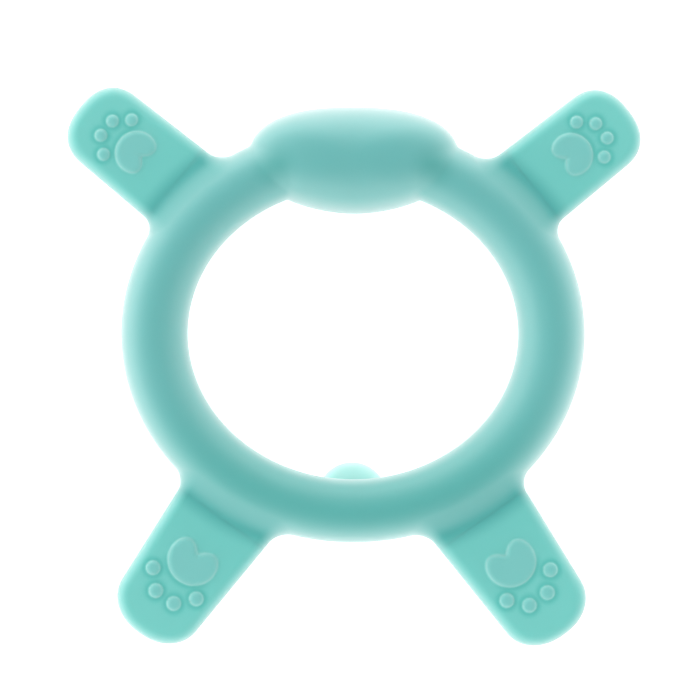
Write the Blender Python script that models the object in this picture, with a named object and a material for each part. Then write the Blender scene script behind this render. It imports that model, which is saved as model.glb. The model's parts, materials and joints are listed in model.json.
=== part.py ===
"""Silicone teething ring: an oval grip tube with a head, a tail and four flexible legs.

The ring lies flat with its paw-print side up (+Z) and its head towards +Y. The origin is at the
centre of the footprint, at the height of the flats that it rests on. All lengths are in metres.
"""
import bpy
import bmesh
from math import acos, atan2, cos, exp, hypot, pi, radians, sin, sqrt
from mathutils import Matrix, Vector

MM = 0.001

# Fit between neighbouring pieces
GAP = 0.3 * MM

# Ring: an oval centreline with a round tube that is a little fatter at the sides
RING_HALF_X = 34.7 * MM
RING_HALF_Y = 31.0 * MM
TUBE_RADIUS = 5.68 * MM
TUBE_RADIUS_SWING = 0.16 * MM
RING_HEIGHT = 14.0 * MM
RING_STEPS = 56
TUBE_SIDES_RESOLUTION = 4

# Head: a superellipsoid block around the top of the tube, flat underneath
HEAD_CENTRE_Y = 30.4 * MM
HEAD_HALF_X = 18.55 * MM
HEAD_HALF_Y = 9.36 * MM
HEAD_WIDEST_BELOW_TUBE = 2.5 * MM
HEAD_HALF_Z_UP = 10.0 * MM
HEAD_HALF_Z_DOWN = 13.5 * MM
HEAD_SQUARENESS_OUTER = 2.4
HEAD_SQUARENESS_INNER = 1.85
HEAD_SQUARENESS_TOP = 2.8
HEAD_JOIN_X = 17.5 * MM

# Tail: a ball under the bottom of the tube, flat where it touches the table
TAIL_CENTRE_Y = -29.0 * MM
TAIL_CENTRE_Z = 5.8 * MM
TAIL_RADIUS = 6.2 * MM

# Legs: flat tongues with fully rounded edges. Distances run along the leg from the ring's centre
LEG_THICKNESS = 4.6 * MM
LEG_EDGE = 2.2 * MM
LEG_STUB_START = 33.0 * MM
LEG_FILLET = 2.6 * MM
LEG_TIP_STEPS = 12
TUBE_SEARCH_STEPS = 720
LEGS = {
    "front": {
        "angle": radians(38.8), "offset": 0.69 * MM, "pivot": 43.9 * MM, "tube_edge": 38.7 * MM,
        "root_half_width": 7.87 * MM, "taper": 0.020, "tip_start": 55.5 * MM,
        "tip_end": 62.0 * MM, "tip_power": 2.4,
        "heel": (49.95 * MM, 0.0), "heel_scale": 1.0,
        "toes": ((53.35 * MM, 3.87 * MM), (55.8 * MM, 1.6 * MM)), "toe_radius": 1.07 * MM,
    },
    "rear": {
        "angle": radians(-54.5), "offset": -0.26 * MM, "pivot": 42.9 * MM, "tube_edge": 37.7 * MM,
        "root_half_width": 9.07 * MM, "taper": 0.063, "tip_start": 58.1 * MM,
        "tip_end": 64.3 * MM, "tip_power": 2.2,
        "heel": (49.25 * MM, -0.27 * MM), "heel_scale": 1.19,
        "toes": ((53.4 * MM, 4.63 * MM), (56.35 * MM, 1.92 * MM)), "toe_radius": 1.24 * MM,
    },
}
WIDTH_MEASURED_AT = 41.0 * MM

# Heel pad of a front paw, as a radius about its middle: round outside, notched towards the ring
HEEL_OUTER = 2.85 * MM
HEEL_SWELL = 1.65 * MM
HEEL_NOTCH = 2.4 * MM
HEEL_NOTCH_WIDTH = radians(27.0)
HEEL_NOTCH_POWER = 1.9
HEEL_SIDES = 28

# Paw prints: pads seated in shallow pockets, standing proud of the leg
POCKET_DEPTH = 1.0 * MM
PAD_PROUD = 0.5 * MM
PAD_EDGE = 0.35 * MM
TOE_SIDES = 12

# Hinge knuckle between a leg and its root
KNUCKLE_RADIUS = LEG_THICKNESS / 2.0
SOCKET_RADIUS = KNUCKLE_RADIUS + GAP
SOCKET_SIDES = 48

COLOURS = {
    "ring": (0.105, 0.44, 0.40),
    "head": (0.13, 0.46, 0.43),
    "tail": (0.42, 0.86, 0.74),
    "leg": (0.16, 0.60, 0.53),
    "pad": (0.22, 0.66, 0.58),
}


# ---------------------------------------------------------------- scene helpers

def clear_scene():
    for obj in list(bpy.data.objects):
        bpy.data.objects.remove(obj, do_unlink=True)


def new_collection(name):
    collection = bpy.data.collections.new(name)
    bpy.context.scene.collection.children.link(collection)
    return collection


def silicone(name, colour):
    material = bpy.data.materials.new(name)
    material.use_nodes = True
    shader = material.node_tree.nodes["Principled BSDF"]
    shader.inputs["Base Color"].default_value = (*colour, 1.0)
    shader.inputs["Roughness"].default_value = 0.5
    shader.inputs["Metallic"].default_value = 0.0
    shader.inputs["Subsurface Weight"].default_value = 0.3
    return material


def new_object(name, mesh, collection, matrix=None):
    obj = bpy.data.objects.new(name, mesh)
    collection.objects.link(obj)
    if matrix is not None:
        obj.matrix_world = matrix
    return obj


def finish_mesh(mesh, material):
    mesh.materials.clear()
    mesh.materials.append(material)
    mesh.shade_smooth()
    mesh.set_sharp_from_angle(angle=radians(40.0))


def mesh_from_curve(curve_object, weld=0.00001):
    """Turn a curve object into a closed mesh object in the same place."""
    bpy.context.view_layer.update()
    evaluated = curve_object.evaluated_get(bpy.context.evaluated_depsgraph_get())
    mesh = bpy.data.meshes.new_from_object(evaluated)
    tidy = bmesh.new()
    tidy.from_mesh(mesh)
    bmesh.ops.remove_doubles(tidy, verts=tidy.verts, dist=weld)
    bmesh.ops.recalc_face_normals(tidy, faces=tidy.faces)
    tidy.to_mesh(mesh)
    tidy.free()
    name = curve_object.name
    collection = curve_object.users_collection[0]
    matrix = curve_object.matrix_world.copy()
    bpy.data.objects.remove(curve_object, do_unlink=True)
    return new_object(name, mesh, collection, matrix)


def boolean(target, tool, operation, solver='EXACT'):
    modifier = target.modifiers.new(operation.lower(), 'BOOLEAN')
    modifier.operation = operation
    modifier.solver = solver
    modifier.object = tool


def bake(obj):
    """Apply an object's modifiers, keeping its origin."""
    bpy.context.view_layer.update()
    evaluated = obj.evaluated_get(bpy.context.evaluated_depsgraph_get())
    mesh = bpy.data.meshes.new_from_object(evaluated)
    obj.modifiers.clear()
    obj.data = mesh


def cutter(name, mesh, matrix=None):
    obj = new_object(name, mesh, CUTTERS, matrix)
    obj.hide_render = True
    obj.display_type = 'WIRE'
    return obj


# ---------------------------------------------------------------- ring, head and tail

def tube_centre(t):
    """Point on the ring's centreline, seen from its centre, at ellipse parameter t."""
    return Vector((RING_HALF_X * cos(t), RING_HALF_Y * sin(t), 0.0))


def tube_radius(t):
    point = tube_centre(t)
    return TUBE_RADIUS + TUBE_RADIUS_SWING * cos(2.0 * atan2(point.y, point.x))


def tube(name, start, end, steps, collection, inflate=0.0):
    """A stretch of the ring's tube as a mesh object. A short first and last step square its caps."""
    curve = bpy.data.curves.new(name, 'CURVE')
    curve.dimensions = '3D'
    curve.bevel_depth = 1.0
    curve.bevel_resolution = TUBE_SIDES_RESOLUTION
    curve.use_fill_caps = True
    inner_places = [index / steps for index in range(1, steps)]
    square_end = 0.05 / steps
    places = [0.0, square_end] + inner_places + [1.0 - square_end, 1.0]
    spline = curve.splines.new('POLY')
    spline.points.add(len(places) - 1)
    for point, place in zip(spline.points, places):
        t = start + (end - start) * place
        point.co = (*tube_centre(t), 1.0)
        point.radius = tube_radius(t) + inflate
    obj = new_object(name, curve, collection, Matrix.Translation(RING_CENTRE))
    return mesh_from_curve(obj)


def head_join_parameter():
    return acos(HEAD_JOIN_X / RING_HALF_X)


def half_gap_parameter(t):
    """Half the fitting gap, as a change of the ellipse parameter at t."""
    speed = hypot(RING_HALF_X * sin(t), RING_HALF_Y * cos(t))
    return GAP / 2.0 / speed


def squarer(x, squareness):
    """How much a unit ball's cross-section at x grows to follow a superellipse instead."""
    round_part = sqrt(max(0.0, 1.0 - x * x))
    if round_part < 1e-6:
        return 1.0
    return max(0.0, 1.0 - abs(x) ** squareness) ** (1.0 / squareness) / round_part


def head_block_mesh():
    """A superellipsoid that is squarer on its outer side and deeper underneath, cut flat."""
    mesh = bpy.data.meshes.new("head")
    shape = bmesh.new()
    bmesh.ops.create_uvsphere(shape, u_segments=28, v_segments=18, radius=1.0)
    bmesh.ops.rotate(shape, verts=shape.verts, matrix=Matrix.Rotation(pi / 2.0, 3, 'Y'))
    for vert in shape.verts:
        x, y, z = vert.co
        squareness = HEAD_SQUARENESS_OUTER if y > 0.0 else HEAD_SQUARENESS_INNER
        widen = squarer(x, squareness)
        heighten = squarer(x, HEAD_SQUARENESS_TOP)
        half_z = HEAD_HALF_Z_UP if z > 0.0 else HEAD_HALF_Z_DOWN
        vert.co = (x * HEAD_HALF_X, y * widen * HEAD_HALF_Y, z * heighten * half_z)
    bmesh.ops.translate(shape, verts=shape.verts,
                        vec=(0.0, HEAD_CENTRE_Y + RING_CENTRE.y, RING_HEIGHT - HEAD_WIDEST_BELOW_TUBE))
    cut_flat(shape)
    shape.to_mesh(mesh)
    shape.free()
    return mesh


def cut_flat(shape):
    """Cut a closed bmesh at the table and close it with a flat face."""
    everything = shape.verts[:] + shape.edges[:] + shape.faces[:]
    cut = bmesh.ops.bisect_plane(shape, geom=everything, dist=0.000001, plane_co=(0, 0, 0),
                                 plane_no=(0, 0, -1), clear_outer=True)
    rim = [item for item in cut["geom_cut"] if isinstance(item, bmesh.types.BMEdge)]
    bmesh.ops.contextual_create(shape, geom=rim)
    bmesh.ops.recalc_face_normals(shape, faces=shape.faces)


def make_head():
    join = head_join_parameter()
    margin = half_gap_parameter(join)
    head = new_object("head", head_block_mesh(), PARTS)
    core = tube("head_core", join + margin, pi - join - margin, 16, CUTTERS)
    boolean(head, core, 'UNION')
    bake(head)
    bpy.data.objects.remove(core, do_unlink=True)
    finish_mesh(head.data, silicone("head_silicone", COLOURS["head"]))


def make_tail():
    mesh = bpy.data.meshes.new("tail")
    shape = bmesh.new()
    bmesh.ops.create_uvsphere(shape, u_segments=20, v_segments=12, radius=TAIL_RADIUS)
    bmesh.ops.translate(shape, verts=shape.verts,
                        vec=(0.0, TAIL_CENTRE_Y + RING_CENTRE.y, TAIL_CENTRE_Z))
    cut_flat(shape)
    shape.to_mesh(mesh)
    shape.free()
    tail = new_object("tail", mesh, PARTS)
    clearance = tube("tail_clearance", -0.75 * pi, -0.25 * pi, 24, CUTTERS, inflate=GAP)
    boolean(tail, clearance, 'DIFFERENCE')
    bake(tail)
    bpy.data.objects.remove(clearance, do_unlink=True)
    finish_mesh(tail.data, silicone("tail_silicone", COLOURS["tail"]))


# ---------------------------------------------------------------- legs

def leg_half_width(leg, s):
    """Half the leg's width at distance s from the ring's centre."""
    width = leg["root_half_width"] - leg["taper"] * (s - WIDTH_MEASURED_AT)
    if s <= leg["tip_start"]:
        return width
    reach = (s - leg["tip_start"]) / (leg["tip_end"] - leg["tip_start"])
    power = leg["tip_power"]
    return width * max(0.0, 1.0 - min(1.0, reach) ** power) ** (1.0 / power)


def leg_edge_points(leg, start):
    """One side of a leg's outline from start to its tip, as (along, across) pairs."""
    points = [(start, leg_half_width(leg, start))]
    length = leg["tip_end"] - leg["tip_start"]
    for index in range(LEG_TIP_STEPS):
        turn = pi / 2.0 * index / LEG_TIP_STEPS
        s = leg["tip_start"] + length * sin(turn) ** (2.0 / leg["tip_power"])
        points.append((s, leg_half_width(leg, s)))
    return points


def leg_outline(leg):
    """The moving leg, from just behind its hinge axis to its tip, seen from the hinge axis."""
    side = leg_edge_points(leg, leg["pivot"] - KNUCKLE_RADIUS)
    other_side = [(s, -t) for s, t in reversed(side)]
    outline = side + [(leg["tip_end"], 0.0)] + other_side
    return [(s - leg["pivot"], t) for s, t in outline]


def leg_point(leg, s, t):
    """A place in a right-hand leg's own frame, seen from the ring's centre."""
    return Matrix.Rotation(leg["angle"], 4, 'Z') @ Vector((s, t + leg["offset"], 0.0))


def nearest_on_tube(point):
    """Distance from a point to the tube's surface, and the nearest centreline point."""
    places = [2.0 * pi * index / TUBE_SEARCH_STEPS for index in range(TUBE_SEARCH_STEPS)]
    nearest = min(places, key=lambda t: (point - tube_centre(t)).length - tube_radius(t))
    centre = tube_centre(nearest)
    return (point - centre).length - tube_radius(nearest), centre


def flare(leg, sign):
    """Fillet between the tube and one side of a leg, from inside the tube to the leg's side."""
    half_width = leg_half_width(leg, leg["tube_edge"] + LEG_FILLET)
    centre_t = sign * (half_width + LEG_FILLET)
    low, high = LEG_STUB_START, leg["pivot"]
    for _ in range(20):
        middle = (low + high) / 2.0
        distance, centre = nearest_on_tube(leg_point(leg, middle, centre_t))
        if distance < LEG_FILLET:
            low = middle
        else:
            high = middle
    inwards = centre - leg_point(leg, low, centre_t)
    inwards = Matrix.Rotation(-leg["angle"], 4, 'Z') @ inwards
    to_tube = atan2(sign * inwards.y, inwards.x) % (2.0 * pi)
    fillet = arc((low, 0.0), LEG_FILLET, to_tube, 1.5 * pi, 6)
    fillet = [(s, centre_t + sign * t) for s, t in fillet]
    return [(LEG_STUB_START, sign * 0.6 * half_width)] + fillet


def stub_outline(leg, side):
    """The fixed root of a leg, flared into the tube and reaching to the hinge axis."""
    end_half_width = leg_half_width(leg, leg["pivot"])
    upper = flare(leg, 1.0) + [(leg["pivot"], end_half_width)]
    lower = flare(leg, -1.0) + [(leg["pivot"], -end_half_width)]
    return on_side([(s - leg["pivot"], t) for s, t in upper + lower[::-1]], side)


def slab(name, outline, collection, matrix, half_thickness, edge, edge_resolution=2, grow=0.0):
    """A flat outline with rounded edges, centred on its own z=0 plane, as a mesh object."""
    curve = bpy.data.curves.new(name, 'CURVE')
    curve.dimensions = '2D'
    curve.fill_mode = 'BOTH'
    curve.extrude = half_thickness - edge
    curve.bevel_depth = edge
    curve.bevel_resolution = edge_resolution
    curve.offset = grow - edge
    spline = curve.splines.new('POLY')
    spline.points.add(len(outline) - 1)
    for point, (s, t) in zip(spline.points, outline):
        point.co = (s, t, 0.0, 1.0)
    spline.use_cyclic_u = True
    return mesh_from_curve(new_object(name, curve, collection, matrix))


def hinge_cylinder(name, radius, width, matrix):
    """A round bar along a leg's hinge axis."""
    mesh = bpy.data.meshes.new(name)
    shape = bmesh.new()
    bmesh.ops.create_cone(shape, cap_ends=True, segments=SOCKET_SIDES, radius1=radius,
                          radius2=radius, depth=width, matrix=Matrix.Rotation(pi / 2.0, 4, 'X'))
    shape.to_mesh(mesh)
    shape.free()
    return cutter(name, mesh, matrix)


def leg_matrix(leg, side):
    """Where a leg's hinge axis is: +x points along the leg, +z up. side is +1 right, -1 left."""
    along = Vector((cos(leg["angle"]), sin(leg["angle"]), 0.0))
    across = Vector((-sin(leg["angle"]), cos(leg["angle"]), 0.0))
    pivot = along * leg["pivot"] + across * leg["offset"]
    turn = leg["angle"]
    if side < 0:
        pivot.x = -pivot.x
        turn = pi - turn
    return Matrix.Translation(RING_CENTRE + pivot) @ Matrix.Rotation(turn, 4, 'Z')


def arc(centre, radius, start, end, steps):
    return [(centre[0] + radius * cos(start + (end - start) * index / steps),
             centre[1] + radius * sin(start + (end - start) * index / steps))
            for index in range(steps + 1)]


def heel_radius(angle):
    """Radius of a front paw's heel pad; angle 0 points away from the ring."""
    from_notch = abs(pi - angle % (2.0 * pi))
    notch = HEEL_NOTCH * exp(-(from_notch / HEEL_NOTCH_WIDTH) ** HEEL_NOTCH_POWER)
    return HEEL_OUTER + HEEL_SWELL * (1.0 - cos(angle)) / 2.0 - notch


def heel_outline(leg):
    heel_s, heel_t = leg["heel"]
    angles = [2.0 * pi * index / HEEL_SIDES for index in range(HEEL_SIDES)]
    radii = [leg["heel_scale"] * heel_radius(angle) for angle in angles]
    return [(heel_s - leg["pivot"] + r * cos(angle), heel_t + r * sin(angle))
            for r, angle in zip(radii, angles)]


def toe_outline(leg, s, t):
    last = TOE_SIDES - 1
    return arc((s - leg["pivot"], t), leg["toe_radius"], 0.0, 2.0 * pi * last / TOE_SIDES, last)


def pad_shapes(leg):
    """Outlines of a paw print's pads seen from the hinge axis: the heel, then toes 1 to 4."""
    (outer_s, outer_t), (inner_s, inner_t) = leg["toes"]
    toe_places = ((outer_s, outer_t), (inner_s, inner_t), (inner_s, -inner_t), (outer_s, -outer_t))
    shapes = {"heel_pad": heel_outline(leg)}
    for number, (s, t) in enumerate(toe_places, start=1):
        shapes["toe_" + str(number)] = toe_outline(leg, s, t)
    return shapes


def on_side(outline, side):
    return [(s, side * t) for s, t in outline]


def pad_level(bottom, top):
    """Middle height and half thickness of a slab between two heights over the mid-plane."""
    return (bottom + top) / 2.0, (top - bottom) / 2.0


def make_leg(name, leg, side):
    matrix = leg_matrix(leg, side)
    body = slab(name + "_leg", leg_outline(leg), PARTS, matrix, LEG_THICKNESS / 2.0, LEG_EDGE)
    surface = LEG_THICKNESS / 2.0

    middle, half = pad_level(surface - POCKET_DEPTH, surface + PAD_PROUD)
    for pad_name, outline in pad_shapes(leg).items():
        pocket = slab(name + "_" + pad_name + "_pocket", on_side(outline, side), CUTTERS,
                      matrix @ Matrix.Translation((0.0, 0.0, middle)), half, 0.0, 0, GAP)
        boolean(body, pocket, 'DIFFERENCE')
    bake(body)
    finish_mesh(body.data, silicone(name + "_leg_silicone", COLOURS["leg"]))

    middle, half = pad_level(surface - POCKET_DEPTH + GAP, surface + PAD_PROUD)
    for pad_name, outline in pad_shapes(leg).items():
        pad = slab(name + "_" + pad_name, on_side(outline, side), PARTS,
                   matrix @ Matrix.Translation((0.0, 0.0, middle)), half, PAD_EDGE, 0)
        finish_mesh(pad.data, silicone(name + "_" + pad_name + "_silicone", COLOURS["pad"]))


def make_ring():
    join = head_join_parameter()
    margin = half_gap_parameter(join)
    ring = tube("ring", pi - join + margin, 2.0 * pi + join - margin, RING_STEPS, PARTS)
    for name, leg, side in leg_list():
        matrix = leg_matrix(leg, side)
        stub = slab(name + "_stub", stub_outline(leg, side), CUTTERS, matrix, LEG_THICKNESS / 2.0, LEG_EDGE)
        socket = hinge_cylinder(name + "_socket", SOCKET_RADIUS, 4.0 * leg["root_half_width"], matrix)
        boolean(stub, socket, 'DIFFERENCE')
        bake(stub)
        boolean(ring, stub, 'UNION', 'MANIFOLD')
    bake(ring)
    finish_mesh(ring.data, silicone("ring_silicone", COLOURS["ring"]))


def leg_list():
    """Every leg as (name, its dimensions, +1 for the right side or -1 for the left)."""
    return [(kind + "_" + side_name, LEGS[kind], side)
            for kind in ("front", "rear") for side_name, side in (("left", -1), ("right", 1))]


def footprint_shift():
    """How far the ring's centre lies from the middle of the whole outline, along Y."""
    heights = []
    for leg in LEGS.values():
        matrix = (Matrix.Rotation(leg["angle"], 4, 'Z')
                  @ Matrix.Translation((leg["pivot"], leg["offset"], 0.0)))
        heights += [(matrix @ Vector((s, t, 0.0))).y for s, t in leg_outline(leg)]
    return -(min(heights) + max(heights)) / 2.0


clear_scene()
PARTS = new_collection("teething_ring")
CUTTERS = new_collection("cutters")
RING_CENTRE = Vector((0.0, footprint_shift(), RING_HEIGHT))
make_ring()
make_head()
make_tail()
for leg_name, leg_sizes, leg_side in leg_list():
    make_leg(leg_name, leg_sizes, leg_side)
for leftover in list(CUTTERS.objects):
    bpy.data.objects.remove(leftover, do_unlink=True)
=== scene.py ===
"""Looks of the silicone teething ring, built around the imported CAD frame.

One rounded surface runs over the ring, head, tail and legs, with fillets where they meet. It is
described by signed distances, meshed, laid exactly on the surface and cut across the leg roots, so
that the body and each leg are separate closed pieces that meet edge to edge. Shapes are worked out
in millimetres from the ring's centre, and the meshes are in metres in the frame.
"""

import json
import math

import bmesh
import bpy
import numpy as np
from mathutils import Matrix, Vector


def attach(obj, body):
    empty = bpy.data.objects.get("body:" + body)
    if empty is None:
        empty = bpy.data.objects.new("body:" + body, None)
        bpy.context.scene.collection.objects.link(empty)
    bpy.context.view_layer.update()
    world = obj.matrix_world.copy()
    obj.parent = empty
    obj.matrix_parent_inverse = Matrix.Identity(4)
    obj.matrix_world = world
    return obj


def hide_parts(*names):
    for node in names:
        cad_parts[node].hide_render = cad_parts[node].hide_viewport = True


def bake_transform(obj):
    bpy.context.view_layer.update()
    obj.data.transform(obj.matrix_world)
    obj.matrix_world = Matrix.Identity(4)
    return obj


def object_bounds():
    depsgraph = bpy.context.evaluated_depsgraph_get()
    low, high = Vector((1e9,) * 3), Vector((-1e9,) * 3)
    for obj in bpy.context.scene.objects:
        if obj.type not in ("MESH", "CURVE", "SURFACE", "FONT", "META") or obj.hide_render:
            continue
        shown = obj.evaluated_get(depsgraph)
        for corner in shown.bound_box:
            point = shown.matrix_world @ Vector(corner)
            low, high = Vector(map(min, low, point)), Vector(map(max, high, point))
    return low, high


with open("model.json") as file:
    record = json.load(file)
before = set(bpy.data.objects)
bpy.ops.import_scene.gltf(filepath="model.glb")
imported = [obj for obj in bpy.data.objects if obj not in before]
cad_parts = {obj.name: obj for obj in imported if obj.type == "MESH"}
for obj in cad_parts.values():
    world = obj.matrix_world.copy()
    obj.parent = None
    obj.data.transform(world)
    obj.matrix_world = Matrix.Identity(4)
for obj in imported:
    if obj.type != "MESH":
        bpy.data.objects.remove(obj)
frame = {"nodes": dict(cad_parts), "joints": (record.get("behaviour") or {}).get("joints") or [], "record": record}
cad_low, cad_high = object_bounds()

MM = 0.001
ROOT = "ring_body"
SIDES = ("left", "right")

# Ring, head and tail: what the frame's boxes and mounts don't say, in millimetres
TUBE_RADIUS_SIDE = 5.84
TUBE_RADIUS_END = 5.52
HEAD_OUT = 30.4
HEAD_HALF_X = 18.45
HEAD_HALF_Y = 9.36
HEAD_WIDEST_BELOW_TUBE = 2.5
HEAD_HALF_Z_DOWN = 13.5
HEAD_SQUARENESS_OUTER = 2.4
HEAD_SQUARENESS_INNER = 1.85
HEAD_SQUARENESS_ACROSS = 2.0
HEAD_SQUARENESS_ALONG = 3.2
TAIL_FLATTENED = 0.4

# How near the ring's middle line a point of its lower stretch is measured, in millimetres
NEAR_MIDDLE = 3.0

# Fillets and edges. The head's fillet grows outwards, and upwards around where its top ends
HEAD_FILLET_INNER = 0.3
HEAD_FILLET_OUTER = 0.4
HEAD_FILLET_GROWS = (23.5, 30.0)
HEAD_FILLET_TOP = 1.5
HEAD_FILLET_TOP_GROWS = (2.0, 5.0)
HEAD_END = (13.8, 29.0)
HEAD_END_REACH = 7.0
HEAD_FLAT_EDGE = 2.0
TAIL_FLAT_EDGE = 0.4
TAIL_FILLET = 0.9
LEG_FILLET = 2.4
LEG_EDGE = 2.2

# Legs: how they end, how far they reach into the tube, and where their distance is worked out
LEG_SHAPES = {
    "front": {"taper": 0.020, "tip_power": 2.4, "tip_length": 6.5},
    "rear": {"taper": 0.063, "tip_power": 2.2, "tip_length": 6.2},
}
LEG_BURIED = 10.5
LEG_NEAR_ALONG = 4.0
LEG_NEAR_ACROSS = 15.0
LEG_NEAR_UP = 7.0

# Paw prints. The heel pad is a radius about its middle: round outside, notched towards the ring
HEEL_SCALE = {"front": 1.0, "rear": 1.19}
HEEL_OUTER = 2.85
HEEL_SWELL = 1.65
HEEL_NOTCH = 2.4
HEEL_NOTCH_WIDTH = math.radians(27.0)
HEEL_NOTCH_POWER = 1.9
PRINT_PROUD = 0.5
PRINT_EDGE_WIDTH = 1.0
PRINT_FILLET = 0.2

# Where a leg's piece starts, and a place further along the leg, from its hinge axis
SEAM = -3.4
BEND_END = 5.0

# Meshing. The faces along the paw prints' rims are cut finer
MESH_STEP = 0.5
MESH_MARGIN = 1.5
NEWTON_STEPS = 5
LAY_ROUNDS = 3
RELAX_ROUNDS = 3
RELAX_LAY_ROUNDS = 2
LEAST_SLOPE = 0.2
SLOPE_STEP = 0.002
FAR = 50.0
LEAST_LEVEL = 1e-4
CUT_TOLERANCE = 1e-4
RIM_BAND = (-1.1, 0.9)
RIM_FROM = -2.0
RIM_DEPTH = 0.4
RIM_CUTS = 2

# Colour of the silicone on the ring and on what grows from it, with painted light and shade: painted shade low on
# the ring, in hollows, on upright faces and around the pads, and a painted rim light on slopes and on the pads'
# rims
SILICONE = (0.113, 0.555, 0.530)
# Painted shade: darker low on the ring, towards the tail
SILICONE_PAINTED_SHADE_LOW = (0.060, 0.515, 0.475)
# Painted shade in the hollows where the head's top sinks into the tube
SILICONE_PAINTED_SHADE_HEAD_END = (0.050, 0.480, 0.445)
# Painted shade in the valleys between the legs and the ring
SILICONE_PAINTED_SHADE_LEG_ROOT = (0.005, 0.475, 0.440)
# Painted rim light: a paler, greyer colour where the surface turns on its side
SILICONE_PAINTED_RIM_LIGHT = (0.270, 0.550, 0.520)
# Painted shade on faces that stand upright
SILICONE_PAINTED_SHADE_UPRIGHT = (0.060, 0.400, 0.375)
SILICONE_LEG = (0.140, 0.700, 0.640)
SILICONE_LEG_TIP = (0.165, 0.730, 0.665)
SILICONE_TAIL = (0.450, 0.880, 0.820)
SILICONE_PRINT = (0.180, 0.670, 0.630)
# Painted rim light on the paw pads' rims
SILICONE_PAINTED_PAD_RIM_LIGHT = (0.180, 0.665, 0.620)
# Painted shade around the paw pads
SILICONE_PAINTED_SHADE_AROUND_PADS = (0.050, 0.620, 0.550)

# Where those colours and the painted light and shade are, in millimetres from the ring, the head's end, a leg or a
# pad's outline.
# UPRIGHT_POWER says how late the painted shade on upright faces sets in as the surface turns on its side
LOW_FROM = 8.0
LOW_OVER = 20.0
HEAD_END_SHADE_REACH = 5.0
LEG_AT = 3.0
LEG_ROOT_SHADE_OUT = (5.0, 1.0)
LEG_ROOT_SHADE_ABOVE = (3.6, 1.2)
LEG_TIP_AT = 22.0
TAIL_AT = 1.0
TAIL_NEAR = 0.5
PRINT_NEAR = 1.0
PRINT_DEPTH = 0.3
RIM_AT = -0.4
RIM_REACH = 0.7
PAD_SHADE_REACH = 1.3
PAD_SHADE_FADE_IN = 3.0
UPRIGHT_POWER = 3.0

# Surface of the silicone: soft gloss, a pale bloom and a fine grain
ROUGHNESS = 0.45
SURFACE_IOR = 1.6
COAT = 1.0
COAT_ROUGHNESS = 0.45
COAT_IOR = 1.65
SHEEN = 1.0
SHEEN_ROUGHNESS = 0.45
SUBSURFACE = 0.6
SUBSURFACE_RADIUS = (0.6, 1.0, 1.0)
SUBSURFACE_SCALE = 0.0008
GRAIN_SCALE = 2600.0
GRAIN_DETAIL = 3.0
GRAIN_STRENGTH = 0.12
GRAIN_DEPTH = 0.00004

# Floor and light tent. The tent's brightness is given at its sides, middle and top
FLOOR_GAP = 0.0002
FLOOR_HALF_SIZE = 3.0
FLOOR_GREY = 0.9
FLOOR_ROUGHNESS = 0.9
FLOOR_GLOW = 0.75
SKY_SIDES = 2.1
SKY_MIDDLE = 0.75
SKY_MIDDLE_AT = 0.6
SKY_TOP = 0.5
SKY_LEAN = 0.25
BRIGHT_SIDE = (-0.93, 0.37, 0.0)

# Camera: straight above, lens and sensor in millimetres, places in millimetres
CAMERA_LENS = 150.0
CAMERA_SENSOR = 36.0
CAMERA_CLIP = 0.01
CAMERA_HEIGHT = 510.0
CAMERA_OFFSET = (-0.51, 2.92)
CAMERA_ROLL = math.radians(0.3)


# ---------------------------------------------------------------- sizes from the frame

def node_points(node):
    """A CAD node's points, in millimetres in the frame."""
    mesh = frame["nodes"][node].data
    points = np.empty(len(mesh.vertices) * 3, np.float32)
    mesh.vertices.foreach_get("co", points)
    return points.reshape(-1, 3).astype(float) / MM


def joint_of(leg_name):
    return next(joint for joint in frame["joints"] if joint["name"] == leg_name + "_leg_flex")


def mount_place(name):
    mounts = frame["record"]["mounts"]
    return np.array(next(mount for mount in mounts if mount["name"] == name)["pos_m"]) / MM


CENTRE = np.array((0.0, mount_place("head_rest")[1] - HEAD_OUT,
                   joint_of("front_right")["pos_m"][2] / MM))
FLOOR = -CENTRE[2]

ring_points = node_points("ring") - CENTRE
tube_bottom = ring_points[(abs(ring_points[:, 0]) < NEAR_MIDDLE) & (ring_points[:, 1] < 0.0)]
RING_HALF_X = ring_points[:, 0].max() - TUBE_RADIUS_SIDE
RING_HALF_Y = -tube_bottom[:, 1].min() - TUBE_RADIUS_END
TUBE_RADIUS = (TUBE_RADIUS_SIDE + TUBE_RADIUS_END) / 2.0
TUBE_RADIUS_SWING = (TUBE_RADIUS_SIDE - TUBE_RADIUS_END) / 2.0

head_points = node_points("head") - CENTRE
HEAD_HALF_Z_UP = head_points[:, 2].max() + HEAD_WIDEST_BELOW_TUBE

tail_points = node_points("tail") - CENTRE
TAIL_RADIUS = tail_points[:, 0].max()
TAIL_MIDDLE = np.array((0.0, tail_points[:, 1].min() + TAIL_RADIUS,
                        FLOOR - TAIL_FLATTENED + TAIL_RADIUS))


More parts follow.
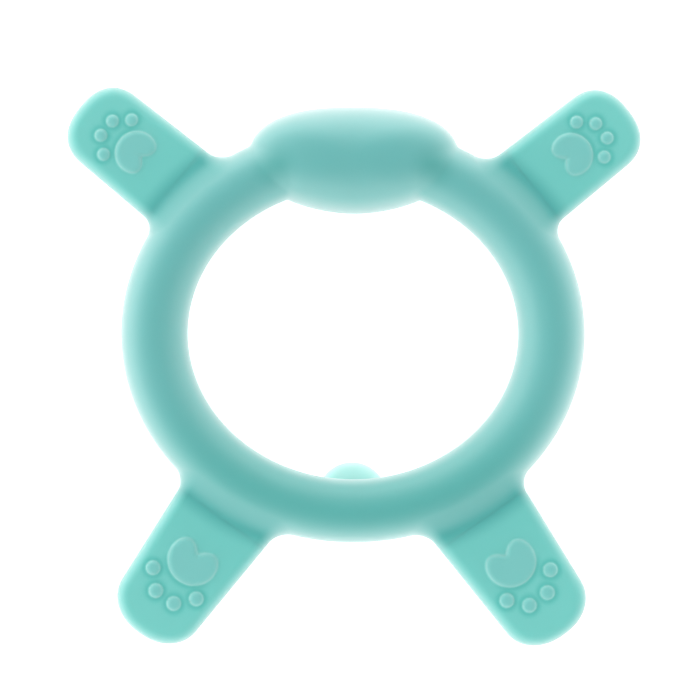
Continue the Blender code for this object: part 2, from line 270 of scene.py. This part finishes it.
class Leg:
    """A leg's frame and sizes, from its CAD nodes: s runs along it from its hinge axis, t across."""

    def __init__(self, kind, side):
        self.kind = kind
        self.name = kind + "_" + side
        self.mirror = -1.0 if side == "left" else 1.0
        joint = joint_of(self.name)
        axis = np.array(joint["axis"])
        self.pivot = np.array(joint["pos_m"]) / MM - CENTRE
        self.along = np.array((-axis[1], axis[0], 0.0))
        self.across = self.mirror * np.array((-self.along[1], self.along[0], 0.0))
        leg_s, leg_t, leg_z = self.measure(self.name + "_leg")
        self.root_s, self.tip_s = leg_s
        self.root_half_width = leg_t[1]
        self.half_thickness = leg_z[1]
        heel_s, heel_t, _ = self.measure(self.name + "_heel_pad")
        self.heel = (heel_s[1] - HEEL_SCALE[kind] * HEEL_OUTER, sum(heel_t) / 2.0)
        self.toes = [self.measure(self.name + "_toe_" + str(number)) for number in range(1, 5)]

    def measure(self, node):
        """A CAD node's lowest and highest s, t and z in the leg's frame."""
        places = self.local(node_points(node) - CENTRE)
        return [(place.min(), place.max()) for place in places]

    def local(self, points):
        """Points seen from the hinge axis, as s, t and z."""
        moved = points - self.pivot
        return moved @ self.along, moved @ self.across, moved[:, 2]

    def place(self, s):
        """A point on the leg's middle line, in metres in the frame."""
        return Vector((self.pivot + self.along * s + CENTRE) * MM)


LEGS = [Leg(kind, side) for kind in LEG_SHAPES for side in SIDES]
RIGHT_LEGS = [leg for leg in LEGS if leg.mirror > 0.0]


# ---------------------------------------------------------------- signed distances

def join(a, b, radius):
    """Union of two distances with a round fillet between them."""
    corner = np.hypot(np.maximum(radius - a, 0.0), np.maximum(radius - b, 0.0))
    return np.maximum(radius, np.minimum(a, b)) - corner


def meet(a, b, radius):
    """Where two shapes overlap, with a rounded edge."""
    corner = np.hypot(np.maximum(radius + a, 0.0), np.maximum(radius + b, 0.0))
    return np.minimum(-radius, np.maximum(a, b)) + corner


def tube_distance(points):
    """Newton steps find the nearest point of the ring's oval centreline."""
    x, y, z = points.T
    turn = np.arctan2(y / RING_HALF_Y, x / RING_HALF_X)
    for _ in range(NEWTON_STEPS):
        cos, sin = np.cos(turn), np.sin(turn)
        off_x, off_y = RING_HALF_X * cos - x, RING_HALF_Y * sin - y
        slope = off_y * RING_HALF_Y * cos - off_x * RING_HALF_X * sin
        bend = ((RING_HALF_X * sin) ** 2 + (RING_HALF_Y * cos) ** 2
                - off_x * RING_HALF_X * cos - off_y * RING_HALF_Y * sin)
        turn = turn - slope / np.maximum(bend, RING_HALF_Y)
    centre_x, centre_y = RING_HALF_X * np.cos(turn), RING_HALF_Y * np.sin(turn)
    radius = TUBE_RADIUS + TUBE_RADIUS_SWING * np.cos(2.0 * np.arctan2(centre_y, centre_x))
    return np.hypot(np.hypot(centre_x - x, centre_y - y), z) - radius


def mix(a, b, share):
    return a + (b - a) * share


def smooth(share):
    """An even start and end between 0 and 1."""
    share = np.clip(share, 0.0, 1.0)
    return share * share * (3.0 - 2.0 * share)


def between(value, limits):
    """An even start and end between two limits."""
    return smooth((value - limits[0]) / (limits[1] - limits[0]))


def oval_level(u, v, size_u, size_v, power, slope_u=1.0):
    """How far out u and v are, 1 being on a superellipse of those half sizes, and how steeply
    that grows. slope_u is how steeply u itself grows."""
    u, v = np.maximum(u / size_u, LEAST_LEVEL), np.maximum(v / size_v, LEAST_LEVEL)
    level = (u ** power + v ** power) ** (1.0 / power)
    steep_u, steep_v = slope_u * u ** (power - 1.0) / size_u, v ** (power - 1.0) / size_v
    return level, level ** (1.0 - power) * np.hypot(steep_u, steep_v)


def head_distance(points):
    """A superellipsoid, squarer outside than inside and deeper below than above."""
    x, y, z = points.T
    y = y - HEAD_OUT
    z = z + HEAD_WIDEST_BELOW_TUBE
    power = np.where(y > 0.0, HEAD_SQUARENESS_OUTER, HEAD_SQUARENESS_INNER)
    half_z = np.where(z > 0.0, HEAD_HALF_Z_UP, HEAD_HALF_Z_DOWN)
    wide, wide_slope = oval_level(abs(x), abs(y), HEAD_HALF_X, HEAD_HALF_Y, power)
    lengthwise = (x / HEAD_HALF_X / wide) ** 2
    power = mix(HEAD_SQUARENESS_ACROSS, HEAD_SQUARENESS_ALONG, lengthwise)
    level, slope = oval_level(wide, abs(z), 1.0, half_z, power, wide_slope)
    return meet((level - 1.0) / slope, FLOOR - points[:, 2], HEAD_FLAT_EDGE)


def tail_distance(points):
    ball = np.linalg.norm(points - TAIL_MIDDLE, axis=1) - TAIL_RADIUS
    return meet(ball, FLOOR - points[:, 2], TAIL_FLAT_EDGE)


def slab_distance(outline, z, half_thickness, edge):
    """An outline's distance in the plane made into a slab with rounded edges."""
    sideways, upwards = outline + edge, abs(z) - half_thickness + edge
    outside = np.hypot(np.maximum(sideways, 0.0), np.maximum(upwards, 0.0))
    return np.minimum(np.maximum(sideways, upwards), 0.0) + outside - edge


def leg_outline(leg, s, t):
    shape = LEG_SHAPES[leg.kind]
    tip_start = leg.tip_s - shape["tip_length"]
    width = leg.root_half_width - shape["taper"] * (s - leg.root_s)
    level, slope = oval_level(s - tip_start, abs(t), shape["tip_length"], width, shape["tip_power"])
    return np.maximum((level - 1.0) / slope, -LEG_BURIED - s)


def heel_outline(leg, s, t):
    """A round pad with a notch towards the ring, as a distance from its polar radius."""
    scale = HEEL_SCALE[leg.kind]
    along, side = s - leg.heel[0], t - leg.heel[1]
    angle = np.arctan2(side, along)
    notch = abs(math.pi - angle % (2.0 * math.pi)) / HEEL_NOTCH_WIDTH
    depth = HEEL_NOTCH * np.exp(-notch ** HEEL_NOTCH_POWER)
    radius = scale * (HEEL_OUTER + HEEL_SWELL * (1.0 - np.cos(angle)) / 2.0 - depth)
    steepness = scale * depth * HEEL_NOTCH_POWER * notch ** (HEEL_NOTCH_POWER - 1.0) / HEEL_NOTCH_WIDTH
    distance = np.hypot(along, side) - radius
    return distance / np.hypot(1.0, steepness / np.maximum(radius, 1.0))


def print_outline(leg, s, t):
    """Distance in the plane to the nearest of a paw print's pads."""
    outline = heel_outline(leg, s, t)
    for toe_s, toe_t, _ in leg.toes:
        radius = (toe_s[1] - toe_s[0]) / 2.0
        toe = np.hypot(s - sum(toe_s) / 2.0, t - sum(toe_t) / 2.0) - radius
        outline = np.minimum(outline, toe)
    return outline


def tongue_distance(leg, s, t, z):
    """A leg without its paw print."""
    return slab_distance(leg_outline(leg, s, t), z, leg.half_thickness, LEG_EDGE)


def leg_distance(leg, points):
    s, t, z = leg.local(points)
    near = (s > -LEG_BURIED - LEG_NEAR_ALONG) & (s < leg.tip_s + LEG_NEAR_ALONG)
    near &= (abs(t) < LEG_NEAR_ACROSS) & (abs(z) < LEG_NEAR_UP)
    distance = np.full(len(points), FAR)
    s, t, z = s[near], t[near], z[near]
    tongue = tongue_distance(leg, s, t, z)
    crown = print_outline(leg, s, t) * PRINT_PROUD / PRINT_EDGE_WIDTH
    pads = slab_distance(crown, z, leg.half_thickness + PRINT_PROUD, PRINT_PROUD)
    distance[near] = join(tongue, np.maximum(pads, -z), PRINT_FILLET)
    return distance


def from_head_end(points):
    """How far, in plan, from where the head's top sinks into the tube's."""
    return np.hypot(points[:, 0] - HEAD_END[0], points[:, 1] - HEAD_END[1])


def core_distance(points):
    """The ring with its head, without what grows from it."""
    fillet = mix(HEAD_FILLET_INNER, HEAD_FILLET_OUTER, between(points[:, 1], HEAD_FILLET_GROWS))
    at_end = smooth(1.0 - from_head_end(points) / HEAD_END_REACH)
    fillet = mix(fillet, HEAD_FILLET_TOP, at_end * between(points[:, 2], HEAD_FILLET_TOP_GROWS))
    return join(tube_distance(points), head_distance(points), fillet)


def on_right_side(points):
    return np.stack((abs(points[:, 0]), points[:, 1], points[:, 2]), axis=1)


def distance_to_ring(points):
    """Distance to the whole teething ring. Its two sides are alike, so the right one is used."""
    points = on_right_side(points)
    distance = join(core_distance(points), tail_distance(points), TAIL_FILLET)
    for leg in RIGHT_LEGS:
        distance = join(distance, leg_distance(leg, points), LEG_FILLET)
    return distance


def slope_at(points):
    slopes = [distance_to_ring(points + step) - distance_to_ring(points - step)
              for step in np.eye(3) * SLOPE_STEP]
    return np.stack(slopes, axis=1) / (2.0 * SLOPE_STEP)


def lay_on_surface(points, rounds):
    """Move points onto the surface by Newton steps, each at most one mesh step long."""
    for _ in range(rounds):
        slope = slope_at(points)
        step = distance_to_ring(points) / np.maximum((slope ** 2).sum(axis=1), LEAST_SLOPE)
        points = points - np.clip(step, -MESH_STEP, MESH_STEP)[:, None] * slope
    return points


# ---------------------------------------------------------------- meshing

def sampled_distances():
    """Distances on a regular grid that is mirrored about x = 0, and the grid's first corner."""
    corners = np.array((cad_low, cad_high)) / MM - CENTRE
    low, high = corners[0] - MESH_MARGIN, corners[1] + MESH_MARGIN
    axes = [np.arange(0.0, high[0], MESH_STEP)]
    axes += [np.arange(low[axis], high[axis], MESH_STEP) for axis in (1, 2)]
    grid = np.stack(np.meshgrid(*axes, indexing="ij"), axis=-1)
    right = distance_to_ring(grid.reshape(-1, 3)).reshape(grid.shape[:3])
    first_corner = np.array((-axes[0][-1], axes[1][0], axes[2][0]))
    return np.concatenate((right[:0:-1], right)), first_corner


def surface_net():
    """Points and quads of a closed mesh: a point in each grid cell that the surface crosses."""
    values, first_corner = sampled_distances()
    crossings, quads = [], []
    for axis, (side_a, side_b) in enumerate(((1, 2), (2, 0), (0, 1))):
        ahead = np.roll(values, -1, axis)
        places = np.argwhere((values < 0.0) != (ahead < 0.0))
        here, there = values[tuple(places.T)], ahead[tuple(places.T)]
        crossing = places.astype(float)
        crossing[:, axis] += here / (here - there)
        around = []
        for shift_a, shift_b in ((0, 0), (-1, 0), (-1, -1), (0, -1)):
            cell = places.copy()
            cell[:, side_a] += shift_a
            cell[:, side_b] += shift_b
            around.append(np.ravel_multi_index(cell.T, values.shape))
        quad = np.stack(around, axis=1)
        quad[here > 0.0] = quad[here > 0.0, ::-1]
        crossings.append(np.repeat(crossing, 4, axis=0))
        quads.append(quad)
    quads = np.concatenate(quads)
    crossings = np.concatenate(crossings)
    _, numbers = np.unique(quads.ravel(), return_inverse=True)
    count = np.bincount(numbers)
    middle = [np.bincount(numbers, weights=crossings[:, axis]) / count for axis in range(3)]
    points = np.stack(middle, axis=1) * MESH_STEP + first_corner
    return points, numbers.reshape(-1, 4)


def relax(points, quads, rounds):
    """Slide points towards the middle of their neighbours and back onto the surface."""
    ends = np.concatenate([quads[:, (a, b)] for a in range(4) for b in ((a + 1) % 4, a - 1)])
    count = np.bincount(ends[:, 0])
    for _ in range(rounds):
        middle = [np.bincount(ends[:, 0], weights=points[ends[:, 1], axis]) / count
                  for axis in range(3)]
        points = lay_on_surface((points + np.stack(middle, axis=1)) / 2.0, RELAX_LAY_ROUNDS)
    return points


def bmesh_points(shape):
    return np.array([vert.co for vert in shape.verts], float)


def move_bmesh(shape, points):
    for vert, point in zip(shape.verts, points):
        vert.co = point


def refine_rims(shape):
    """Split the faces along the paw prints' rims, so that the rims are crisp."""
    middles = np.array([face.calc_center_median() for face in shape.faces], float)
    near_rim = np.zeros(len(middles), bool)
    for leg in LEGS:
        s, t, z = leg.local(middles)
        near = (s > RIM_FROM) & (s < leg.tip_s) & (z > leg.half_thickness - RIM_DEPTH)
        outline = print_outline(leg, s[near], t[near])
        near_rim[near] |= (outline > RIM_BAND[0]) & (outline < RIM_BAND[1])
    shape.faces.ensure_lookup_table()
    edges = {edge for index in np.flatnonzero(near_rim) for edge in shape.faces[index].edges}
    bmesh.ops.subdivide_edges(shape, edges=sorted(edges, key=lambda edge: edge.index),
                              cuts=RIM_CUTS, use_grid_fill=True)


def whole_shape():
    """The whole teething ring's surface, with an edge line across every leg at its seam."""
    points, quads = surface_net()
    points = relax(lay_on_surface(points, LAY_ROUNDS), quads, RELAX_ROUNDS)
    mesh = bpy.data.meshes.new("whole")
    mesh.from_pydata(points.tolist(), [], quads.tolist())
    shape = bmesh.new()
    shape.from_mesh(mesh)
    bpy.data.meshes.remove(mesh)
    refine_rims(shape)
    for leg in LEGS:
        everything = shape.verts[:] + shape.edges[:] + shape.faces[:]
        bmesh.ops.bisect_plane(shape, geom=everything, dist=CUT_TOLERANCE,
                               plane_co=leg.pivot + leg.along * SEAM, plane_no=leg.along)
    move_bmesh(shape, lay_on_surface(bmesh_points(shape), LAY_ROUNDS))
    return shape


# ---------------------------------------------------------------- pieces

def owners(shape):
    """For each face, the number of the leg that it belongs to, or -1 for the body."""
    middles = np.array([face.calc_center_median() for face in shape.faces], float)
    owner = np.full(len(middles), -1)
    for number, leg in enumerate(LEGS):
        owner[leg.local(middles)[0] > SEAM] = number
    return owner


def close_cuts(shape):
    """Close each cut with a flat fan of faces."""
    rims = [edge for edge in shape.edges if edge.is_boundary]
    caps = bmesh.ops.holes_fill(shape, edges=rims, sides=0)["faces"]
    fans = bmesh.ops.poke(shape, faces=caps)["faces"]
    for face in fans:
        face.smooth = False


def make_piece(name, whole, keep):
    """The faces of the whole shape that keep marks, closed, as an object in the frame."""
    shape = whole.copy()
    shape.faces.ensure_lookup_table()
    unwanted = [shape.faces[index] for index in np.flatnonzero(~keep)]
    bmesh.ops.delete(shape, geom=unwanted, context='FACES')
    for face in shape.faces:
        face.smooth = True
    close_cuts(shape)
    points = bmesh_points(shape)
    mesh = bpy.data.meshes.new(name)
    shape.to_mesh(mesh)
    shape.free()

    slope = slope_at(points)
    outward = slope / np.linalg.norm(slope, axis=1)[:, None]
    normals = [polygon.normal if not polygon.use_smooth else Vector(outward[vert])
               for polygon in mesh.polygons for vert in polygon.vertices]
    places = (points + CENTRE) * MM
    mesh.vertices.foreach_set("co", places.ravel())
    mesh.update()
    mesh.normals_split_custom_set(normals)

    rest = mesh.attributes.new("rest_place", 'FLOAT_VECTOR', 'POINT')
    rest.data.foreach_set("vector", places.ravel())
    # Colours of the silicone with painted light and shade, per point
    colour_with_painted_light = mesh.attributes.new("colour_with_painted_light", 'FLOAT_COLOR', 'POINT')
    colour_with_painted_light.data.foreach_set("color", tints(points, outward).ravel())
    obj = bpy.data.objects.new(name, mesh)
    bpy.context.scene.collection.objects.link(obj)
    return obj


# ---------------------------------------------------------------- materials

def towards(colours, colour, share):
    """Colours moved towards one colour, each by its own share."""
    return mix(colours, np.array((*colour, 1.0)), np.asarray(share)[:, None])


def print_tints(colours, outline, upper, pad_shade):
    """Pads in their own colour where upper is 1, with a painted rim light along their rims, and painted shade
    around them as strong as the last argument.
    """
    colours = towards(colours, SILICONE_PRINT, upper * smooth(-outline / RIM_REACH))
    # Painted shade around the pads
    pad_shade = pad_shade * smooth(1.0 - outline / PAD_SHADE_REACH) * (outline > 0.0)
    colours = towards(colours, SILICONE_PAINTED_SHADE_AROUND_PADS, pad_shade)
    # Painted rim light on the pads' rims
    return towards(colours, SILICONE_PAINTED_PAD_RIM_LIGHT, upper * smooth(1.0 - abs(outline - RIM_AT) / RIM_REACH))


def tints(points, outward):
    """Colour of the silicone at each point, with painted light and shade: paler on the thin legs and on the tail;
    painted shade low on the ring, in the hollows at the head's ends and the leg roots, around the pads and on
    upright faces; a painted rim light on the pads' rims and on slopes.
    It depends on the place on the object and on which way the surface faces."""
    points = on_right_side(points)
    y, z = points[:, 1], points[:, 2]
    out = core_distance(points)
    colours = towards(np.zeros((len(points), 4)), SILICONE, np.ones(len(points)))
    # Painted shade: darker towards the ring's low end, by the tail
    colours = towards(colours, SILICONE_PAINTED_SHADE_LOW, smooth((-y - LOW_FROM) / LOW_OVER))
    # Painted shade in the hollows where the head's top sinks into the tube
    head_end_shade = smooth(1.0 - from_head_end(points) / HEAD_END_SHADE_REACH)
    colours = towards(colours, SILICONE_PAINTED_SHADE_HEAD_END, head_end_shade * (z > 0.0))
    on_tail = tail_distance(points) < TAIL_NEAR
    colours = towards(colours, SILICONE_TAIL, smooth(out / TAIL_AT) * on_tail)
    colours = towards(colours, SILICONE_LEG, smooth(out / LEG_AT) * ~on_tail)
    colours = towards(colours, SILICONE_LEG_TIP, smooth(out / LEG_TIP_AT) * ~on_tail)
    for leg in RIGHT_LEGS:
        s, t, z = leg.local(points)
        from_leg = tongue_distance(leg, s, t, z)
        # Painted shade in the valley between the leg and the ring
        leg_root_shade = between(out, LEG_ROOT_SHADE_OUT) * between(from_leg, LEG_ROOT_SHADE_ABOVE)
        colours = towards(colours, SILICONE_PAINTED_SHADE_LEG_ROOT, leg_root_shade)
        upper = (z > leg.half_thickness - PRINT_DEPTH) & (from_leg < PRINT_NEAR)
        # Painted shade around the pads, fading in past the heel
        pad_shade = upper * between(s, (leg.heel[0], leg.heel[0] + PAD_SHADE_FADE_IN))
        colours = print_tints(colours, print_outline(leg, s, t), upper, pad_shade)
    steep = (1.0 - abs(outward[:, 2])) * ~on_tail
    # Painted rim light: paler and greyer where the surface turns on its side
    colours = towards(colours, SILICONE_PAINTED_RIM_LIGHT, steep)
    # Painted shade on faces that stand upright
    return towards(colours, SILICONE_PAINTED_SHADE_UPRIGHT, steep ** UPRIGHT_POWER)


def grey(value):
    return (value, value, value, 1.0)


def silicone():
    """Matte translucent silicone, coloured by the colours with painted light and shade that each mesh carries."""
    material = bpy.data.materials.new("teal_silicone")
    material.use_nodes = True
    nodes, links = material.node_tree.nodes, material.node_tree.links
    shader = nodes["Principled BSDF"]

    # Base colour: the silicone's colours with painted light and shade
    colour_with_painted_light = nodes.new("ShaderNodeAttribute")
    colour_with_painted_light.attribute_name = "colour_with_painted_light"
    links.new(colour_with_painted_light.outputs["Color"], shader.inputs["Base Color"])

    place = nodes.new("ShaderNodeAttribute")
    place.attribute_name = "rest_place"
    grain = nodes.new("ShaderNodeTexNoise")
    grain.inputs["Scale"].default_value = GRAIN_SCALE
    grain.inputs["Detail"].default_value = GRAIN_DETAIL
    links.new(place.outputs["Vector"], grain.inputs["Vector"])
    bump = nodes.new("ShaderNodeBump")
    bump.inputs["Strength"].default_value = GRAIN_STRENGTH
    bump.inputs["Distance"].default_value = GRAIN_DEPTH
    links.new(grain.outputs["Fac"], bump.inputs["Height"])
    links.new(bump.outputs["Normal"], shader.inputs["Normal"])

    shader.inputs["Roughness"].default_value = ROUGHNESS
    shader.inputs["IOR"].default_value = SURFACE_IOR
    shader.inputs["Coat Weight"].default_value = COAT
    shader.inputs["Coat Roughness"].default_value = COAT_ROUGHNESS
    shader.inputs["Coat IOR"].default_value = COAT_IOR
    shader.inputs["Subsurface Weight"].default_value = SUBSURFACE
    shader.inputs["Subsurface Radius"].default_value = SUBSURFACE_RADIUS
    shader.inputs["Subsurface Scale"].default_value = SUBSURFACE_SCALE
    shader.inputs["Sheen Weight"].default_value = SHEEN
    shader.inputs["Sheen Roughness"].default_value = SHEEN_ROUGHNESS
    shader.inputs["Sheen Tint"].default_value = grey(1.0)
    return material


# ---------------------------------------------------------------- floor, light and camera

def add_floor():
    mesh = bpy.data.meshes.new("floor")
    half = FLOOR_HALF_SIZE
    mesh.from_pydata([(-half, -half, 0), (half, -half, 0), (half, half, 0), (-half, half, 0)], [],
                     [(0, 1, 2, 3)])
    floor = bpy.data.objects.new("floor", mesh)
    floor.location.z = -FLOOR_GAP
    bpy.context.scene.collection.objects.link(floor)
    material = bpy.data.materials.new("pale_floor")
    material.use_nodes = True
    shader = material.node_tree.nodes["Principled BSDF"]
    shader.inputs["Base Color"].default_value = grey(FLOOR_GREY)
    shader.inputs["Roughness"].default_value = FLOOR_ROUGHNESS
    shader.inputs["Emission Color"].default_value = grey(1.0)
    shader.inputs["Emission Strength"].default_value = FLOOR_GLOW
    mesh.materials.append(material)


def add_sky():
    """A light tent: bright around its sides, dimmer overhead, and brighter on one side."""
    world = bpy.data.worlds.new("light_tent")
    bpy.context.scene.world = world
    world.use_nodes = True
    nodes, links = world.node_tree.nodes, world.node_tree.links
    direction = nodes.new("ShaderNodeTexCoord")
    split = nodes.new("ShaderNodeSeparateXYZ")
    ramp = nodes.new("ShaderNodeValToRGB")
    links.new(direction.outputs["Generated"], split.inputs["Vector"])
    links.new(split.outputs["Z"], ramp.inputs["Fac"])
    elements = ramp.color_ramp.elements
    ramp.color_ramp.interpolation = 'B_SPLINE'
    elements[0].position, elements[0].color = 0.0, grey(1.0)
    elements[1].position, elements[1].color = 1.0, grey(SKY_TOP / SKY_SIDES)
    elements.new(SKY_MIDDLE_AT).color = grey(SKY_MIDDLE / SKY_SIDES)
    links.new(ramp.outputs["Color"], nodes["Background"].inputs["Color"])

    lean = nodes.new("ShaderNodeVectorMath")
    lean.operation = 'DOT_PRODUCT'
    lean.inputs[1].default_value = BRIGHT_SIDE
    links.new(direction.outputs["Generated"], lean.inputs[0])
    strength = nodes.new("ShaderNodeMath")
    strength.operation = 'MULTIPLY_ADD'
    strength.inputs[1].default_value = SKY_LEAN * SKY_SIDES
    strength.inputs[2].default_value = SKY_SIDES
    links.new(lean.outputs["Value"], strength.inputs[0])
    links.new(strength.outputs["Value"], nodes["Background"].inputs["Strength"])


def add_camera():
    data = bpy.data.cameras.new("camera")
    data.lens = CAMERA_LENS
    data.sensor_width = CAMERA_SENSOR
    data.clip_start = CAMERA_CLIP
    camera = bpy.data.objects.new("camera", data)
    height = CENTRE[2] + CAMERA_HEIGHT
    camera.location = Vector((CAMERA_OFFSET[0], CAMERA_OFFSET[1], height)) * MM
    camera.rotation_euler = (0.0, 0.0, CAMERA_ROLL)
    bpy.context.scene.collection.objects.link(camera)
    bpy.context.scene.camera = camera


# ---------------------------------------------------------------- the teething ring

whole = whole_shape()
owner = owners(whole)
rubber = silicone()

body = make_piece("ring_with_head_and_tail", whole, owner == -1)
body.data.materials.append(rubber)
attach(body, ROOT)
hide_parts("ring", "head", "tail")

for number, leg in enumerate(LEGS):
    piece = make_piece(leg.name + "_paw", whole, owner == number)
    piece.data.materials.append(rubber)
    leg.place(SEAM)
    leg.place(BEND_END)
    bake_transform(piece)
    toes = [leg.name + "_toe_" + str(toe) for toe in range(1, 5)]
    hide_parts(leg.name + "_leg", leg.name + "_heel_pad", *toes)
whole.free()

add_floor()
add_sky()
add_camera()
bpy.context.scene.view_settings.view_transform = 'Standard'
